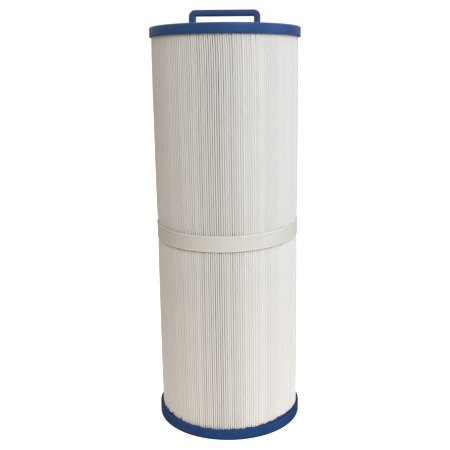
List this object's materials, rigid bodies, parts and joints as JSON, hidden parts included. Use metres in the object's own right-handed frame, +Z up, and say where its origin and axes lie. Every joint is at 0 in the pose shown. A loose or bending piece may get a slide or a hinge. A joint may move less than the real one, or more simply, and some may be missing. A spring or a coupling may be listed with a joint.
{
  "type": "pleated filter cartridge",
  "caption": "Tall round pleated filter cartridge for a spa, with blue cast end caps, a strap handle on the closed top, a retaining band and an open bore at the bottom.",
  "frame": {"origin": "centre of the underside of the bottom end cap, on the cartridge's axis", "axes": "+Z up along the axis towards the handle, X along the handle's bar, -Y is the front seen in the picture"},
  "size_m": [0.1254, 0.1254, 0.352],
  "materials": {
    "cap_urethane": "satin",
    "handle_plastic": "satin",
    "pleat_polyester": "matte",
    "band_polyester": "matte",
    "hot_melt": "satin",
    "core_plastic": "satin"
  },
  "bodies": {
    "root": {"bottom_end_cap": "cap_urethane", "top_end_cap": "cap_urethane", "handle": "handle_plastic", "pleated_media": "pleat_polyester", "media_seam_bond": "hot_melt", "retaining_band": "band_polyester", "core_section_1": "core_plastic", "core_section_2": "core_plastic", "core_section_3": "core_plastic", "core_plug": "core_plastic"}
  },
  "joints": []
}
